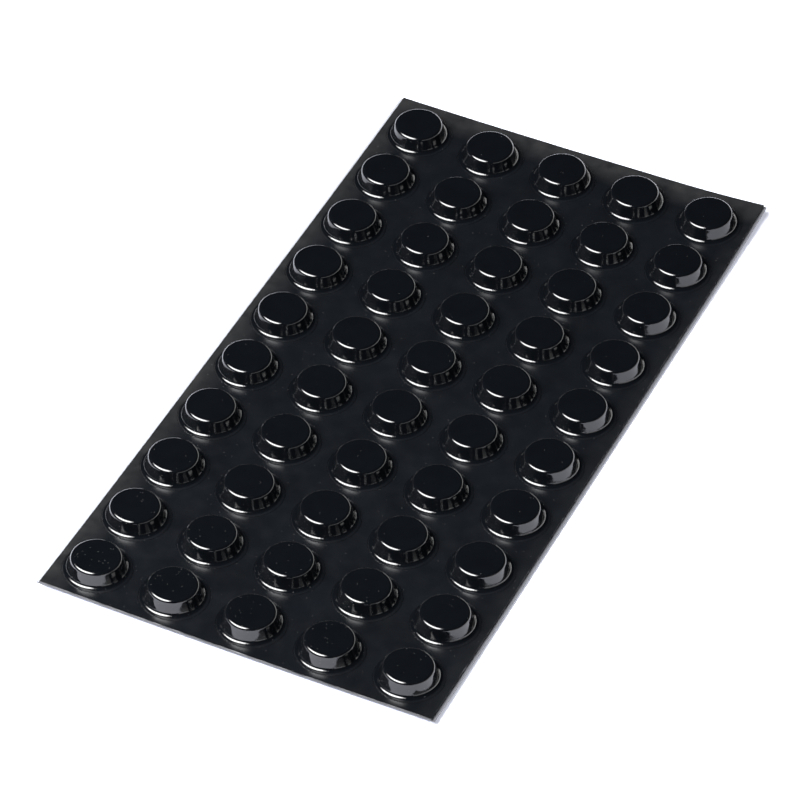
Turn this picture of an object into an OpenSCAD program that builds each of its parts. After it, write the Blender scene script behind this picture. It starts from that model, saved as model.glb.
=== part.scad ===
// Studded stomp pad sheet: round self-adhesive studs, each kiss-cut free in a thin web,
// on one peel-off release liner. All sizes are in millimetres.
// Origin: centre of the liner's underside. +X runs across the columns, +Y runs along the
// rows towards row 1, and +Z points from the liner to the stud tops.

/* [Sheet] */
// Columns of studs across the sheet
columns = 5; // [2:1:5]
// Rows of studs along the sheet
rows = 10; // [2:1:11]
// Centre distance between neighbouring columns
column_pitch = 16.5; // [15:0.1:20]
// Centre distance between neighbouring rows
row_pitch = 15.95; // [15:0.05:20]
// From the centres of column 1 to the side of the web there
left_margin = 8; // [7.5:0.05:12]
// From the centres of the last column to the side of the web there
right_margin = 8.65; // [7.5:0.05:12]
// From the centres of row 1 to the cut end of the sheet there
far_margin = 9.5; // [7.5:0.05:12]
// From the centres of the last row to the cut end of the sheet there
near_margin = 8.4; // [7.5:0.05:12]
// How far the liner stands out past each side of the web
liner_overhang = 0.65; // [0:0.05:1]

/* [Layers] */
// Thickness of the release liner
liner_t = 0.2; // [0.1:0.01:0.4]
// Thickness of the adhesive coat
adhesive_t = 0.1; // [0.05:0.01:0.2]
// Thickness of the moulded web, and of the flange round each stud
web_t = 0.4; // [0.3:0.05:0.8]

/* [Stud] */
// Diameter where the foot fillet runs out into the flange
base_d = 12.9; // [12:0.05:13]
// Height of the stud above the web
stud_h = 3.1; // [2:0.05:3.5]
// Draft of the side wall, from upright, in degrees
draft = 16; // [5:1:25]
// Radius of the hollow fillet at the foot of the wall
foot_fillet = 0.85; // [0.3:0.01:0.9]
// Radius of the rounded top edge
edge_round = 0.75; // [0.2:0.01:0.8]

/* [Kiss cut] */
// Diameter of the round cut through web and adhesive
cut_d = 13.8; // [13.8:0.05:14.2]
// How far the cuts sit off the studs' centres, towards +X
cut_shift_x = 0.25; // [0:0.05:0.25]
// How far the cuts sit off the studs' centres, towards -Y
cut_shift_y = 0.1; // [0:0.05:0.1]
// Gap that the cut leaves on the stud's side
kerf = 0.08; // [0.05:0.01:0.1]
// Hairline that keeps a stud and its adhesive coat two solids
bond_line = 0.01; // [0.01:0.005:0.02]

/* [Hidden] */
$fn = 96;

// Heights of the layers' faces above the liner's underside
adhesive_z = liner_t;
web_z = adhesive_z + adhesive_t;
web_mid_z = web_z + web_t / 2;
web_top_z = web_z + web_t;
stud_top_z = web_top_z + stud_h;

web_w = left_margin + (columns - 1) * column_pitch + right_margin;
sheet_l = far_margin + (rows - 1) * row_pitch + near_margin;
liner_w = web_w + 2 * liner_overhang;

base_r = base_d / 2;
cut_r = cut_d / 2;
flange_r = cut_r - kerf;

// The wall meets the foot fillet and the top edge's round at these points
fillet_steps = 6;
edge_steps = 6;
wall_foot_r = base_r - foot_fillet * cos(draft);
wall_foot_z = web_top_z + foot_fillet * (1 - sin(draft));
sharp_top_r = wall_foot_r - (stud_top_z - wall_foot_z) * tan(draft);
edge_centre_r = sharp_top_r - edge_round * tan((90 - draft) / 2);
edge_centre_z = stud_top_z - edge_round;

margin_cut = 1; // how far a hole's cutter runs past each face

// Two digits for a row, one for a column
function two_digits(n) = n < 10 ? str("0", n) : str(n);
function stud_name(row, column) = str("stud_row", two_digits(row), "_col", column);

function stud_x(column) = left_margin - web_w / 2 + (column - 1) * column_pitch;
function stud_y(row) = sheet_l / 2 - far_margin - (row - 1) * row_pitch;
function cut_x(column) = stud_x(column) + cut_shift_x;
function cut_y(row) = stud_y(row) - cut_shift_y;

// Points of an arc, as [radius, height] pairs, from one angle to another
function arc(centre, radius, from, to, steps) = [
    for (i = [0:steps])
        let (a = from + (to - from) * i / steps)
            [centre[0] + radius * cos(a), centre[1] + radius * sin(a)]
];

// Silicone-coated paper that carries the sheet
module release_liner() {
    color("white")
        translate([-liner_w / 2, -sheet_l / 2, 0])
            cube([liner_w, sheet_l, liner_t]);
}

// A sheet the size of the web, with the round kiss cuts through it
module kiss_cut_layer(z, thickness) {
    difference() {
        translate([-web_w / 2, -sheet_l / 2, z])
            cube([web_w, sheet_l, thickness]);
        for (row = [1:rows], column = [1:columns])
            translate([cut_x(column), cut_y(row), z - margin_cut])
                cylinder(r = cut_r, h = thickness + 2 * margin_cut);
    }
}

// Adhesive left on the web between the studs
module web_adhesive() {
    color("gainsboro")
        kiss_cut_layer(adhesive_z, adhesive_t);
}

// Moulded web, the waste left between the studs
module web() {
    color([0.1, 0.1, 0.11])
        kiss_cut_layer(web_z, web_t);
}

// Half section of the raised stud: hollow foot fillet, drafted wall, rounded top edge
module stud_section() {
    polygon(concat(
        [[0, web_mid_z], [base_r, web_mid_z]],
        arc([base_r, web_top_z + foot_fillet], foot_fillet, 270, 180 + draft, fillet_steps),
        arc([edge_centre_r, edge_centre_z], edge_round, draft, 90, edge_steps),
        [[0, stud_top_z]]
    ));
}

// One moulded stud with its kiss-cut flange, and the adhesive coat under it
module stud(row, column) {
    color([0.06, 0.06, 0.07]) {
        translate([stud_x(column), stud_y(row), 0])
            rotate_extrude()
                stud_section();
        translate([cut_x(column), cut_y(row), web_z + bond_line])
            cylinder(r = flange_r, h = web_t - bond_line);
        translate([cut_x(column), cut_y(row), adhesive_z])
            cylinder(r = flange_r, h = adhesive_t);
    }
}

release_liner();
web_adhesive();
web();
for (row = [1:rows], column = [1:columns])
    stud(row, column);
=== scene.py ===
import math
import random

import bmesh
import bpy
from mathutils import Matrix, Vector, noise


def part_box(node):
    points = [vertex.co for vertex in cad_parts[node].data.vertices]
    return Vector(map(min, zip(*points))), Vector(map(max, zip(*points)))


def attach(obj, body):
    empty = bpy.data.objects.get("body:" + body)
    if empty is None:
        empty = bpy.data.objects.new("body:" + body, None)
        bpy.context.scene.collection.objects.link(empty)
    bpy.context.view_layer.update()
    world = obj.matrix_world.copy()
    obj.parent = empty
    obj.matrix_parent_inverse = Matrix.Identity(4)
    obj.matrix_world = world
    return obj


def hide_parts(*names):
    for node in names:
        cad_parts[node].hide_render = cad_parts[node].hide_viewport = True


MM = 0.001
COLUMNS, ROWS = 5, 10

# The studs' section, a hair wider at the foot than the CAD part and with slightly hollow walls
BASE_R = 6.48
FOOT_FILLET = 0.85
EDGE_ROUND = 0.75
DRAFT = math.radians(17.4)
WALL_HOLLOW = 0.02
CUT_SHIFT = Vector((0.25, -0.10, 0.0))
CUT_R = 6.90

# Finer than the CAD part: what a press and a die leave behind
WALL_UNEVENNESS, WALL_WAVES_AROUND, WALL_WAVES_PER_MM = 0.012, 2.2, 0.9
TOP_UNEVENNESS, TOP_WAVES_PER_MM = 0.004, 0.35
CUT_GAP = 0.04
CUT_ROLL = 0.05
GLUE_ROLL = 0.01
GLUE_STRINGS, GLUE_WAVES_AROUND, GLUE_WAVES_PER_MM = 0.02, 9, 20
SCORE_DEPTH = 0.02
SCORE_HALF_WIDTH = 0.05
FLANGE_OVERLAP = 0.02

# How far the cut edges wander, and how many times a millimetre
WEB_JAG, WEB_JAG_SCALE = 0.03, 1.6
GLUE_JAG, GLUE_JAG_SCALE = 0.05, 2.2
LINER_JAG, LINER_JAG_SCALE = 0.015, 2.5
JAG_WAVES_PER_MM_UP, JAG_SEED = 4.0, 7.0
BORDER_APART = 400  # so that no two borders wander alike

# How finely the pieces are divided
LATHE_SIDES = 96
EDGE_STEPS, WALL_STEPS, FILLET_STEPS = 12, 10, 10
TOP_RINGS = (0.25, 0.5, 0.75, 0.93)
CELL_SIDE_POINTS = 24
ON_BORDER = 1e-6
WELD = 1e-4
SHARP = math.radians(35)

# The real sheet is slightly dished: how far each term lifts its sides, ends or corners off the
# table. The far right corner curls up more, from CORNER_FROM of the way out to it.
SIDE_CURL = 0.38
END_CURL = 0.22
END_KICK = 0.46
TWIST = 0.11
NEAR_KICK = 0.11
CORNER_CURL = 0.5
CORNER_FROM = 0.8
GRID_MIDDLE = Vector((-0.325, -0.55, 0.0))
HALF_WIDTH, HALF_LENGTH = 41.0, 80.0

# The camera's place round its aim, which is near the middle of the sheet; DISTANCE is in metres
AZIMUTH = math.radians(25.30)
ELEVATION = math.radians(42.96)
ROLL = math.radians(0.33)
DISTANCE = 0.9787
LENS = 221.6
SENSOR = 36.0
AIM = GRID_MIDDLE + Vector((-1.77, -2.66, 0.0))

# The directions to the camera's right and away from it along the floor, and straight up
RIGHT = Vector((math.cos(AZIMUTH), math.sin(AZIMUTH), 0.0))
AWAY = Vector((-math.sin(AZIMUTH), math.cos(AZIMUTH), 0.0))
UP = Vector((0.0, 0.0, 1.0))

# Faint tints of the greys
COOL = (0.78, 0.96, 1.28)
LAVENDER = (0.93, 0.95, 1.06)

# Dust lies thickest on the two nearest rows of studs
DUSTY_NEAR_Y = -62.0
CLEAN_FROM_Y = -40.0
MOST_DUST, LEAST_DUST = 0.16, 0.015

# A painted sheen lightens the web's colour along the left side and the far end, and very
# faintly along the right side, between these distances from the sheet's middle
SHEEN_FROM_X, SHEEN_TO_X = 35.0, 41.5
SHEEN_FROM_Y, SHEEN_TO_Y = 73.5, 79.0
FAINT_SHEEN_FROM_X, FAINT_SHEEN = 37.5, 0.2

# The studs' walls are slightly puckered near the foot
PUCKER_TOP_Z, PUCKER_FULL_Z = 2.4, 1.3

# The liner's colour is darkened as painted shade from here outwards, along the right side and at both
# ends
SHADED_X, SHADED_Y = 41.3, 80.65
SHADED_BLUR = 0.1

# The floor and the cards round it, in metres, and their light
FLOOR_R = 1.6
FLOOR_Z = -0.00002
FLOOR_SIDES = 64
FLOOR_GLOW = 0.42
CARD_R = 1.45
CARD_STEPS = 24
CARD_LIGHT = 2.8
CARDS = (  # name, from and to in degrees clockwise from AWAY, height, share of CARD_LIGHT
    ("far_card", -30, 14, 0.12, 0.35),
    ("right_card", 14, 112, 0.33, 1.0),
    ("front_right_card", 112, 165, 0.38, 0.6),
    ("left_card", -130, -30, 0.12, 0.3),
)
WORLD_LIGHT = 0.01

# The soft key light and the dimmer spill round it
LIGHT_ELEVATION = 56
KEY = {"left_of_camera": 65.5, "distance": 0.75, "width": 0.75, "height": 0.42, "radiance": 21}
SPILL = {"left_of_camera": 67, "distance": 0.76, "width": 0.92, "height": 0.64, "radiance": 8}


def stud_names():
    """(row, column, node) of every stud, row 1 first."""
    return [
        (row, column, f"stud_row{row:02d}_col{column}")
        for row in range(1, ROWS + 1)
        for column in range(1, COLUMNS + 1)
    ]


def arc(centre_r, centre_z, radius, start, end, steps):
    """(r, z) points of an arc, from angle start to angle end, both included."""
    angles = [start + (end - start) * i / steps for i in range(steps + 1)]
    return [(centre_r + radius * math.cos(a), centre_z + radius * math.sin(a)) for a in angles]


def lift(x, y):
    """How far the dished sheet stands off the table at (x, y)."""
    u = (x - GRID_MIDDLE.x) / HALF_WIDTH
    v = (y - GRID_MIDDLE.y) / HALF_LENGTH
    corner = max(0.0, (u + v) / 2 - CORNER_FROM) / (1 - CORNER_FROM)
    bow = SIDE_CURL * u**2 + END_CURL * v**2 + END_KICK * v**4
    return bow + TWIST * u * v - NEAR_KICK * v**3 + CORNER_CURL * corner**2


def mesh_object(name, bm):
    """A new smooth-shaded object from a bmesh built flat, in millimetres."""
    bmesh.ops.remove_doubles(bm, verts=bm.verts, dist=WELD)
    bmesh.ops.recalc_face_normals(bm, faces=bm.faces)
    for vert in bm.verts:
        vert.co.z += lift(vert.co.x, vert.co.y)
    bmesh.ops.scale(bm, vec=(MM, MM, MM), verts=bm.verts)
    mesh = bpy.data.meshes.new(name)
    bm.to_mesh(mesh)
    bm.free()
    mesh.shade_smooth()
    mesh.set_sharp_from_angle(angle=SHARP)
    piece = bpy.data.objects.new(name, mesh)
    bpy.context.scene.collection.objects.link(piece)
    return piece


def join_loops(bm, upper, lower):
    """Quads between two closed loops of as many vertices."""
    count = len(upper)
    for i in range(count):
        j = (i + 1) % count
        bm.faces.new((upper[i], upper[j], lower[j], lower[i]))


def fan(bm, loop, point):
    """Triangles from a closed loop to one vertex at point."""
    centre = bm.verts.new(point)
    for i in range(len(loop)):
        bm.faces.new((loop[i], loop[(i + 1) % len(loop)], centre))


# ---------------------------------------------------------------- studs

def stud_section(web_z, web_top, top, flange_r):
    """The stud's half section, as (r, z, share of the cut's shift), from the top to the underside."""
    foot_r = BASE_R - FOOT_FILLET * math.cos(DRAFT)
    foot_z = web_top + FOOT_FILLET * (1 - math.sin(DRAFT))
    sharp_r = foot_r - (top - foot_z) * math.tan(DRAFT)
    edge_r = sharp_r - EDGE_ROUND * math.tan((math.pi / 2 - DRAFT) / 2)
    edge = arc(edge_r, top - EDGE_ROUND, EDGE_ROUND, math.pi / 2, DRAFT, EDGE_STEPS)
    fillet = arc(
        BASE_R, web_top + FOOT_FILLET, FOOT_FILLET, math.pi + DRAFT, 1.5 * math.pi, FILLET_STEPS
    )
    (wall_top_r, wall_top_z), (wall_foot_r, wall_foot_z) = edge[-1], fillet[0]
    wall = []
    for i in range(1, WALL_STEPS):
        t = i / WALL_STEPS
        wall.append((
            wall_top_r + (wall_foot_r - wall_top_r) * t - WALL_HOLLOW * 4 * t * (1 - t),
            wall_top_z + (wall_foot_z - wall_top_z) * t,
        ))
    top_rings = [(edge_r * share, top) for share in TOP_RINGS]
    raised = [(r, z, 0.0) for r, z in top_rings + edge + wall + fillet]
    flange = [
        (flange_r - CUT_ROLL, web_top, 1.0),
        (flange_r - 0.3 * CUT_ROLL, web_top - 0.3 * CUT_ROLL, 1.0),
        (flange_r, web_top - CUT_ROLL, 1.0),
        (flange_r, web_z, 1.0),
        (flange_r * 0.5, web_z, 1.0),
    ]
    return raised + flange


def make_stud(name, centre, section, top, rng):
    """A lathed stud with the slight unevenness of a poured moulding."""
    bm = bmesh.new()
    seed = Vector((rng.uniform(0, 50), rng.uniform(0, 50), rng.uniform(0, 50)))
    loops = []
    for r, z, share in section:
        loop = []
        for i in range(LATHE_SIDES):
            a = 2 * math.pi * i / LATHE_SIDES
            direction = Vector((math.cos(a), math.sin(a), 0.0))
            around = direction * WALL_WAVES_AROUND + UP * (z * WALL_WAVES_PER_MM)
            swell = WALL_UNEVENNESS * noise.noise(around + seed) if share == 0.0 else 0.0
            across = direction * r * TOP_WAVES_PER_MM
            dish = TOP_UNEVENNESS * noise.noise(across + seed) if z == top else 0.0
            point = centre + CUT_SHIFT * share + direction * (r + swell) + UP * (z + dish)
            loop.append(bm.verts.new(point))
        loops.append(loop)
    for upper, lower in zip(loops, loops[1:]):
        join_loops(bm, upper, lower)
    fan(bm, loops[0], centre + UP * section[0][1])
    fan(bm, loops[-1], centre + CUT_SHIFT + UP * section[-1][1])
    return mesh_object(name, bm)


def make_adhesive_disc(name, centre, radius, low, high, rng):
    """The round of adhesive under one stud, with a slightly stringy edge."""
    bm = bmesh.new()
    seed = rng.uniform(0, 50)
    loops = []
    for share, z in ((0.5, high), (1.0, high), (1.0, (low + high) / 2), (1.0, low), (0.5, low)):
        loop = []
        for i in range(LATHE_SIDES):
            a = 2 * math.pi * i / LATHE_SIDES
            direction = Vector((math.cos(a), math.sin(a), 0.0))
            around = direction * GLUE_WAVES_AROUND + UP * (z * GLUE_WAVES_PER_MM + seed)
            edge = GLUE_STRINGS * noise.noise(around)
            r = radius * share + (edge - GLUE_STRINGS if share == 1.0 else 0.0)
            loop.append(bm.verts.new(centre + direction * r + UP * z))
        loops.append(loop)
    for upper, lower in zip(loops, loops[1:]):
        join_loops(bm, upper, lower)
    fan(bm, loops[0], centre + UP * high)
    fan(bm, loops[-1], centre + UP * low)
    return mesh_object(name, bm)


# ---------------------------------------------------------------- sheets

class Sheet:
    """A thin sheet made of one cell round each kiss cut, welded along the cells' sides."""

    def __init__(self, low, high, centres, jag, jag_scale):
        self.low, self.high = low, high
        self.centres = centres
        self.jag, self.jag_scale = jag, jag_scale
        columns = [centres[0][c].x for c in range(COLUMNS)]
        rows = [centres[r][0].y for r in range(ROWS)]
        self.x_lines = [low.x] + [(a + b) / 2 for a, b in zip(columns, columns[1:])] + [high.x]
        self.y_lines = [high.y] + [(a + b) / 2 for a, b in zip(rows, rows[1:])] + [low.y]
        self.bm = bmesh.new()

    def borders(self, x, y):
        """Whether (x, y) lies on the left, right, near and far border."""
        return (
            abs(x - self.low.x) < ON_BORDER,
            abs(x - self.high.x) < ON_BORDER,
            abs(y - self.low.y) < ON_BORDER,
            abs(y - self.high.y) < ON_BORDER,
        )

    def rough(self, along, z, inset):
        """How far out the cut wanders at a place along the border."""
        place = Vector((along * self.jag_scale, z * JAG_WAVES_PER_MM_UP, JAG_SEED))
        return self.jag * noise.noise(place) - inset

    def border_point(self, x, y, z, inset):
        """A point of the outline, moved by the cut's roughness where it lies on the border."""
        px, py = x, y
        left, right, near, far = self.borders(x, y)
        if left:
            px -= self.rough(y, z, inset)
        if right:
            px += self.rough(y + BORDER_APART, z, inset)
        if near:
            py -= self.rough(x + 2 * BORDER_APART, z, inset)
        if far:
            py += self.rough(x + 3 * BORDER_APART, z, inset)
        return Vector((px, py, z))

    def outline(self, row, column):
        """(x, y) points round a cell, anticlockwise from its low corner."""
        x0, x1 = self.x_lines[column], self.x_lines[column + 1]
        y0, y1 = self.y_lines[row + 1], self.y_lines[row]
        corners = [(x0, y0), (x1, y0), (x1, y1), (x0, y1)]
        points = []
        for i in range(4):
            (ax, ay), (bx, by) = corners[i], corners[(i + 1) % 4]
            for k in range(CELL_SIDE_POINTS):
                t = k / CELL_SIDE_POINTS
                points.append((ax + (bx - ax) * t, ay + (by - ay) * t))
        return points

    def outline_loop(self, points, z, inset=0.0):
        return [self.bm.verts.new(self.border_point(x, y, z, inset)) for x, y in points]

    def circle_loop(self, points, centre, radius, z):
        """A circle whose points face the outline's points."""
        loop = []
        for x, y in points:
            a = math.atan2(y - centre.y, x - centre.x)
            offset = Vector((math.cos(a), math.sin(a), 0.0)) * radius
            loop.append(self.bm.verts.new(Vector((centre.x, centre.y, z)) + offset))
        return loop

    def border_walls(self, points, levels):
        """The cut sides, where the outline of a cell runs along the border."""
        for i, p in enumerate(points):
            q = points[(i + 1) % len(points)]
            if not any(a and b for a, b in zip(self.borders(*p), self.borders(*q))):
                continue
            for (z0, inset0), (z1, inset1) in zip(levels, levels[1:]):
                self.bm.faces.new([
                    self.bm.verts.new(self.border_point(*corner, z, inset))
                    for corner, z, inset in (
                        (p, z0, inset0), (q, z0, inset0), (q, z1, inset1), (p, z1, inset1)
                    )
                ])

    def cells(self):
        """Each cell's outline and the centre of its kiss cut."""
        for row in range(ROWS):
            for column in range(COLUMNS):
                yield self.outline(row, column), self.centres[row][column]


def make_cut_sheet(name, low, high, centres, radius, jag, jag_scale, roll):
    """The web or its adhesive: a sheet with a round hole at each kiss cut."""
    sheet = Sheet(low, high, centres, jag, jag_scale)
    top, bottom = high.z, low.z
    side_levels = [(top, roll), (top - roll, 0.0), ((top + bottom) / 2, 0.0), (bottom, 0.0)]
    for points, centre in sheet.cells():
        loops = [
            sheet.outline_loop(points, top, inset=roll),
            sheet.circle_loop(points, centre, radius + 3 * roll, top),
            sheet.circle_loop(points, centre, radius + roll, top),
            sheet.circle_loop(points, centre, radius, top - roll),
            sheet.circle_loop(points, centre, radius, bottom),
            sheet.outline_loop(points, bottom),
        ]
        for a, b in zip(loops, loops[1:]):
            join_loops(sheet.bm, a, b)
        sheet.border_walls(points, side_levels)
    return mesh_object(name, sheet.bm)


def make_liner(name, low, high, centres, radius):
    """The release liner, with the ring that each kiss cut scored in its face."""
    sheet = Sheet(low, high, centres, LINER_JAG, LINER_JAG_SCALE)
    top, bottom = high.z, low.z
    for points, centre in sheet.cells():
        loops = [
            sheet.outline_loop(points, top),
            sheet.circle_loop(points, centre, radius + SCORE_HALF_WIDTH, top),
            sheet.circle_loop(points, centre, radius, top - SCORE_DEPTH),
            sheet.circle_loop(points, centre, radius - SCORE_HALF_WIDTH, top),
            sheet.circle_loop(points, centre, radius * 0.5, top),
        ]
        for a, b in zip(loops, loops[1:]):
            join_loops(sheet.bm, a, b)
        fan(sheet.bm, loops[-1], Vector((centre.x, centre.y, top)))
        under = [
            sheet.outline_loop(points, bottom),
            sheet.circle_loop(points, centre, radius, bottom),
            sheet.circle_loop(points, centre, radius * 0.5, bottom),
        ]
        for a, b in zip(under, under[1:]):
            join_loops(sheet.bm, a, b)
        fan(sheet.bm, under[-1], Vector((centre.x, centre.y, bottom)))
        sheet.border_walls(points, [(top, 0.0), ((top + bottom) / 2, 0.0), (bottom, 0.0)])
    return mesh_object(name, sheet.bm)


# ---------------------------------------------------------------- materials

class Shader:
    """A material under construction, with its Principled shader and the object's coordinates."""

    def __init__(self, name):
        self.material = bpy.data.materials.new(name)
        self.material.use_nodes = True
        self.tree = self.material.node_tree
        self.surface = self.tree.nodes["Principled BSDF"]
        self.coordinates = self.tree.nodes.new("ShaderNodeTexCoord").outputs["Object"]

    def node(self, kind, inputs=(), **settings):
        made = self.tree.nodes.new(kind)
        for key, value in settings.items():
            setattr(made, key, value)
        for key, value in dict(inputs).items():
            if isinstance(value, bpy.types.NodeSocket):
                self.tree.links.new(value, made.inputs[key])
            else:
                made.inputs[key].default_value = value
        return made

    def noise(self, per_mm, detail=2.0, roughness=0.5, distortion=0.0):
        return self.node("ShaderNodeTexNoise", {
            "Vector": self.coordinates, "Scale": per_mm / MM, "Detail": detail,
            "Roughness": roughness, "Distortion": distortion,
        }).outputs["Fac"]

    def ramp(self, value, low, high, at_low=0.0, at_high=1.0):
        """value mapped from low..high to at_low..at_high, and held there beyond."""
        return self.node("ShaderNodeMapRange", {
            "Value": value, "From Min": low, "From Max": high,
            "To Min": at_low, "To Max": at_high,
        }).outputs["Result"]

    def math(self, operation, a, b=0.5):
        return self.node("ShaderNodeMath", {0: a, 1: b}, operation=operation).outputs[0]

    def mix(self, factor, a, b):
        """A colour between a and b."""
        made = self.node("ShaderNodeMix", data_type="RGBA")
        for index, value in ((0, factor), (6, a), (7, b)):
            if isinstance(value, bpy.types.NodeSocket):
                self.tree.links.new(value, made.inputs[index])
            else:
                made.inputs[index].default_value = value
        return made.outputs[2]

    def bump(self, height, distance_mm, under=None):
        inputs = {"Height": height, "Strength": 1.0, "Distance": distance_mm * MM}
        if under is not None:
            inputs["Normal"] = under
        return self.node("ShaderNodeBump", inputs).outputs["Normal"]

    def specks(self, per_mm, size, share):
        """Scattered specks: 1 inside one, 0 elsewhere."""
        cells = self.node("ShaderNodeTexVoronoi", {
            "Vector": self.coordinates, "Scale": per_mm / MM, "Randomness": 1.0,
        })
        near = self.math("LESS_THAN", cells.outputs["Distance"], size)
        chosen = self.node("ShaderNodeSeparateColor", {"Color": cells.outputs["Color"]})
        lucky = self.math("LESS_THAN", chosen.outputs["Red"], share)
        return self.math("MULTIPLY", near, lucky)

    def border_sheen(self):
        """1 where painted sheen lightens the web: along the sheet's left side and far end, faint
        along the right, and 0 inside.
        """
        axes = self.node("ShaderNodeSeparateXYZ", {"Vector": self.coordinates}).outputs
        left = self.ramp(axes["X"], -SHEEN_FROM_X * MM, -SHEEN_TO_X * MM)
        far = self.ramp(axes["Y"], SHEEN_FROM_Y * MM, SHEEN_TO_Y * MM)
        right = self.ramp(axes["X"], FAINT_SHEEN_FROM_X * MM, SHEEN_TO_X * MM, 0.0, FAINT_SHEEN)
        return self.math("MAXIMUM", right, self.math("MAXIMUM", left, far))

    def set(self, **sockets):
        for key, value in sockets.items():
            socket = self.surface.inputs[key.replace("_", " ")]
            if isinstance(value, bpy.types.NodeSocket):
                self.tree.links.new(value, socket)
            else:
                socket.default_value = value


def grey(level, tint=(1.0, 1.0, 1.0)):
    """An opaque grey, tinted."""
    return (level * tint[0], level * tint[1], level * tint[2], 1.0)


def stud_material():
    """Poured glossy black polyurethane, a little wavy, with dust on it."""
    m = Shader("stud_polyurethane")
    axes = m.node("ShaderNodeSeparateXYZ", {"Vector": m.coordinates}).outputs
    dusty = m.ramp(axes["Y"], DUSTY_NEAR_Y * MM, CLEAN_FROM_Y * MM, MOST_DUST, LEAST_DUST)
    dust = m.specks(per_mm=2.2, size=0.13, share=dusty)
    cloud = m.noise(per_mm=0.25, detail=3.0)
    body = m.mix(cloud, grey(0.0016, COOL), grey(0.0025, COOL))
    m.set(Base_Color=m.mix(dust, body, grey(0.06)))
    smears = m.noise(per_mm=0.5, detail=4.0, distortion=0.6)
    gloss = m.ramp(smears, low=0.35, high=0.75, at_low=0.05, at_high=0.13)
    m.set(Roughness=m.math("MAXIMUM", gloss, m.math("MULTIPLY", dust, 0.6)))
    waves = m.bump(m.noise(per_mm=0.55, detail=1.0), distance_mm=0.006)
    low = m.ramp(axes["Z"], PUCKER_TOP_Z * MM, PUCKER_FULL_Z * MM)
    puckered = m.math("MULTIPLY", low, m.noise(per_mm=2.4, detail=2.0))
    pucker = m.bump(puckered, distance_mm=0.020, under=waves)
    grain = m.noise(per_mm=4.0, detail=2.0)
    m.set(Normal=m.bump(grain, distance_mm=0.0004, under=pucker), IOR=1.52)
    return m.material


def web_material():
    """The thin web: the same polyurethane with a satin skin, finely grained and dusty, and a painted
    sheen lightening its colour along the borders.
    """
    m = Shader("web_polyurethane")
    dust = m.specks(per_mm=1.6, size=0.11, share=0.07)
    cloud = m.noise(per_mm=0.12, detail=4.0)
    skin = m.mix(cloud, grey(0.0016, COOL), grey(0.0044, COOL))
    # painted sheen: the web's colour is lightened towards grey(0.022) near its left side and far end
    painted_sheen = m.math("MULTIPLY", m.border_sheen(), m.noise(per_mm=0.35, detail=4.0))
    m.set(Base_Color=m.mix(dust, m.mix(painted_sheen, skin, grey(0.022)), grey(0.05)))
    rubbed = m.noise(per_mm=0.3, detail=4.0)
    m.set(Roughness=m.ramp(rubbed, low=0.3, high=0.7, at_low=0.19, at_high=0.27))
    waves = m.bump(m.noise(per_mm=0.12, detail=1.0), distance_mm=0.02)
    grain = m.noise(per_mm=2.4, detail=3.0)
    m.set(Normal=m.bump(grain, distance_mm=0.0022, under=waves), IOR=1.58)
    return m.material


def adhesive_material():
    """Milky pressure-sensitive adhesive."""
    m = Shader("milky_adhesive")
    cloud = m.noise(per_mm=1.5, detail=3.0)
    m.set(Base_Color=m.mix(cloud, grey(0.055, LAVENDER), grey(0.085, LAVENDER)))
    smears = m.noise(per_mm=0.8)
    m.set(Roughness=m.ramp(smears, low=0.3, high=0.7, at_low=0.18, at_high=0.34), IOR=1.47)
    m.set(Normal=m.bump(m.noise(per_mm=1.2, detail=2.0), distance_mm=0.01))
    return m.material


def liner_material():
    """Pale release paper under a silicone coat, with faint fibres and its border darkened as painted
    shade.
    """
    m = Shader("release_paper")
    fibres = m.noise(per_mm=2.5, detail=5.0, roughness=0.7, distortion=1.5)
    paper = m.mix(fibres, grey(0.24, LAVENDER), grey(0.30, LAVENDER))
    # painted shade: the paper's colour is darkened at the border, as if in the web's shadow
    shaded_border = m.mix(fibres, grey(0.075, LAVENDER), grey(0.105, LAVENDER))
    axes = m.node("ShaderNodeSeparateXYZ", {"Vector": m.coordinates}).outputs
    side = m.ramp(axes["X"], (SHADED_X - SHADED_BLUR) * MM, SHADED_X * MM)
    end = m.ramp(m.math("ABSOLUTE", axes["Y"]), (SHADED_Y - SHADED_BLUR) * MM, SHADED_Y * MM)
    m.set(Base_Color=m.mix(m.math("MAXIMUM", side, end), paper, shaded_border))
    m.set(Roughness=m.ramp(fibres, low=0.3, high=0.7, at_low=0.38, at_high=0.52))
    m.set(Normal=m.bump(fibres, distance_mm=0.004), IOR=1.45)
    return m.material


# ---------------------------------------------------------------- pieces

def finish_piece(piece, material, body, slot, *nodes):
    """Give a piece its material and its body, and hide the CAD nodes it stands for; slot is not used.
    """
    piece.data.materials.append(material)
    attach(piece, body)
    if nodes:
        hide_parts(*nodes)


def node_box(node):
    """A CAD node's low and high corners in millimetres."""
    low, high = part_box(node)
    return low / MM, high / MM


def cut_centre(low, high):
    """The middle of a stud's box on the floor, which is its kiss cut's centre."""
    return Vector(((low.x + high.x) / 2, (low.y + high.y) / 2, 0.0))


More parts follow.
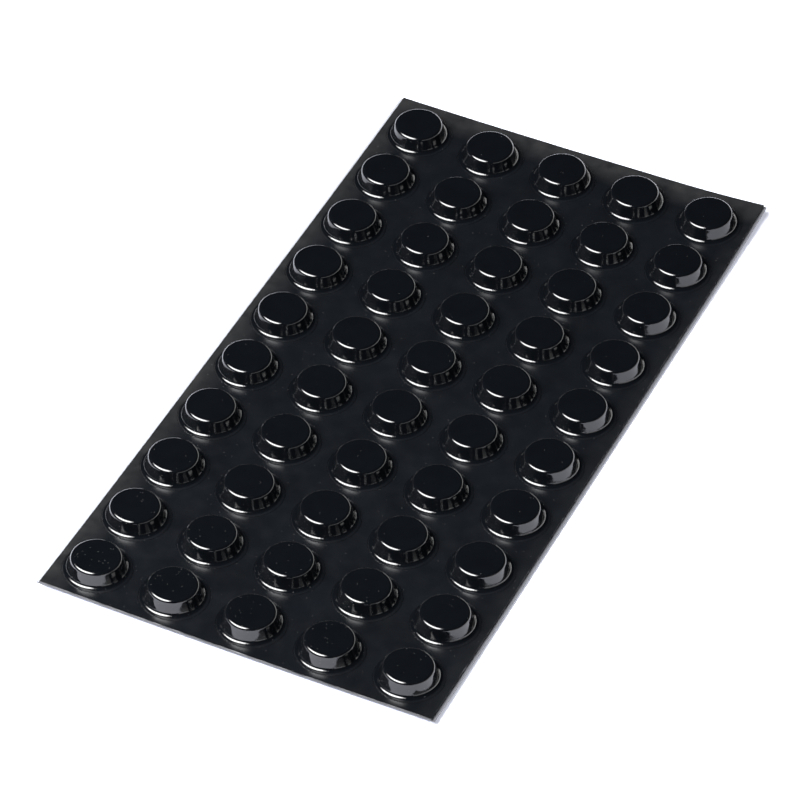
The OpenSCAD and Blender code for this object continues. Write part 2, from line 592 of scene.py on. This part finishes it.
def make_object():
    """Every piece of the sheet, on the body that carries it."""
    web_low, web_high = node_box("web")
    glue_low, glue_high = node_box("web_adhesive")
    liner_low, liner_high = node_box("release_liner")
    boxes = {(row, column): node_box(node) for row, column, node in stud_names()}
    top = boxes[1, 1][1].z
    centres = [[cut_centre(*boxes[row, column]) for column in range(1, COLUMNS + 1)]
               for row in range(1, ROWS + 1)]

    black, satin = stud_material(), web_material()
    glue, paper = adhesive_material(), liner_material()

    web = make_cut_sheet("web_skin", web_low, web_high, centres, CUT_R - CUT_GAP / 2,
                         WEB_JAG, WEB_JAG_SCALE, CUT_ROLL)
    finish_piece(web, satin, "web", "web_rubber", "web")
    web_glue = make_cut_sheet("web_glue", glue_low, glue_high, centres, CUT_R,
                              GLUE_JAG, GLUE_JAG_SCALE, GLUE_ROLL)
    finish_piece(web_glue, glue, "web", "adhesive", "web_adhesive")
    liner = make_liner("liner_paper", liner_low, liner_high, centres, CUT_R)
    finish_piece(liner, paper, "liner", "liner_paper", "release_liner")

    flange_r = CUT_R - 1.5 * CUT_GAP
    for row, column, node in stud_names():
        rng = random.Random(100 * row + column)
        low, high = boxes[row, column]
        section = stud_section(web_low.z, web_high.z, top, flange_r)
        middle = centres[row - 1][column - 1] - CUT_SHIFT
        stud = make_stud("moulded_" + node, middle, section, top, rng)
        finish_piece(stud, black, node, "stud_rubber", node)
        stud.data.materials.append(satin)  # the flange round the foot has the web's skin
        for face in stud.data.polygons:
            reach = (face.center / MM - middle).xy.length
            if reach > BASE_R - FLANGE_OVERLAP:
                face.material_index = 1
        disc = make_adhesive_disc("glue_" + node, centres[row - 1][column - 1], flange_r,
                                  low.z, web_low.z, rng)
        finish_piece(disc, glue, node, "adhesive")


# ---------------------------------------------------------------- studio

def emission(name, colour, strength):
    """A material that only glows."""
    material = bpy.data.materials.new(name)
    material.use_nodes = True
    tree = material.node_tree
    tree.nodes.clear()
    out = tree.nodes.new("ShaderNodeOutputMaterial")
    glow = tree.nodes.new("ShaderNodeEmission")
    glow.inputs["Color"].default_value = colour
    glow.inputs["Strength"].default_value = strength
    tree.links.new(glow.outputs[0], out.inputs["Surface"])
    return material


def floor_material():
    """A pale matt table top that glows faintly, as if lit through, so that shadows stay light."""
    m = Shader("pale_floor")
    cloud = m.noise(per_mm=0.004, detail=2.0)
    m.set(Base_Color=m.mix(cloud, grey(0.66, LAVENDER), grey(0.70, LAVENDER)))
    m.set(Roughness=0.8, Emission_Color=grey(1.0, LAVENDER), Emission_Strength=FLOOR_GLOW)
    return m.material


def stage_mesh(name, verts, faces, material):
    """A mesh of the studio, in metres, and not part of the object."""
    mesh = bpy.data.meshes.new(name)
    mesh.from_pydata(verts, [], faces)
    mesh.materials.append(material)
    made = bpy.data.objects.new(name, mesh)
    bpy.context.scene.collection.objects.link(made)


def make_floor():
    """A pale round table top."""
    angles = [2 * math.pi * i / FLOOR_SIDES for i in range(FLOOR_SIDES)]
    rim = [(FLOOR_R * math.cos(a), FLOOR_R * math.sin(a), FLOOR_Z) for a in angles]
    stage_mesh("floor", rim, [tuple(range(FLOOR_SIDES))], floor_material())


def make_card(name, start, end, height, strength):
    """A glowing card round the table's rim, from angle start to end, clockwise from AWAY."""
    verts = []
    for i in range(CARD_STEPS + 1):
        a = math.radians(start + (end - start) * i / CARD_STEPS)
        foot = (AWAY * math.cos(a) + RIGHT * math.sin(a)) * CARD_R
        verts += [foot + UP * FLOOR_Z, foot + UP * height]
    faces = [(2 * i, 2 * i + 2, 2 * i + 3, 2 * i + 1) for i in range(CARD_STEPS)]
    stage_mesh(name, [tuple(v) for v in verts], faces, emission(name, grey(1.0), strength))


def make_softbox(name, left_of_camera, distance, width, height, radiance):
    """An oval area light facing the sheet, placed by its angle to the left of the camera."""
    a, e = math.radians(left_of_camera), math.radians(LIGHT_ELEVATION)
    direction = (RIGHT * -math.sin(a) - AWAY * math.cos(a)) * math.cos(e) + UP * math.sin(e)
    data = bpy.data.lights.new(name, "AREA")
    data.shape = "ELLIPSE"
    data.size, data.size_y = width, height
    data.energy = radiance * math.pi * (math.pi / 4 * width * height)
    lamp = bpy.data.objects.new(name, data)
    lamp.location = direction * distance
    lamp.rotation_euler = direction.to_track_quat("Z", "Y").to_euler()
    lamp.visible_camera = False
    bpy.context.scene.collection.objects.link(lamp)


def make_camera():
    """The camera, looking at AIM from over the sheet's near right."""
    data = bpy.data.cameras.new("camera")
    data.lens, data.sensor_width, data.sensor_fit = LENS, SENSOR, "HORIZONTAL"
    data.clip_start, data.clip_end = 0.01, 20.0
    camera = bpy.data.objects.new("camera", data)
    back = UP * math.sin(ELEVATION) - AWAY * math.cos(ELEVATION)
    turn = back.to_track_quat("Z", "Y").to_matrix() @ Matrix.Rotation(ROLL, 3, "Z")
    camera.matrix_world = Matrix.Translation(AIM * MM + back * DISTANCE) @ turn.to_4x4()
    bpy.context.scene.collection.objects.link(camera)
    bpy.context.scene.camera = camera


def make_world():
    """A very dim even light from all round."""
    world = bpy.data.worlds.new("studio")
    world.use_nodes = True
    background = world.node_tree.nodes["Background"]
    background.inputs["Color"].default_value = grey(1.0, COOL)
    background.inputs["Strength"].default_value = WORLD_LIGHT
    bpy.context.scene.world = world


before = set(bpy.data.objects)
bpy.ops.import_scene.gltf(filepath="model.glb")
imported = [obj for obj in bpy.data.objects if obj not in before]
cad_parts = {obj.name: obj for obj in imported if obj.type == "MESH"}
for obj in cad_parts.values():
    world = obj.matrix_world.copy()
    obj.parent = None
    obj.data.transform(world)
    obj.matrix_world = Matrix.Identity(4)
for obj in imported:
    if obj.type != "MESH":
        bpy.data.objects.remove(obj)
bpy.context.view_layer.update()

make_camera()
make_object()
make_floor()
for card, start, end, height, share in CARDS:
    make_card(card, start, end, height, share * CARD_LIGHT)
make_softbox("key", **KEY)
make_softbox("key_spill", **SPILL)
make_world()
bpy.context.scene.view_settings.view_transform = "Standard"
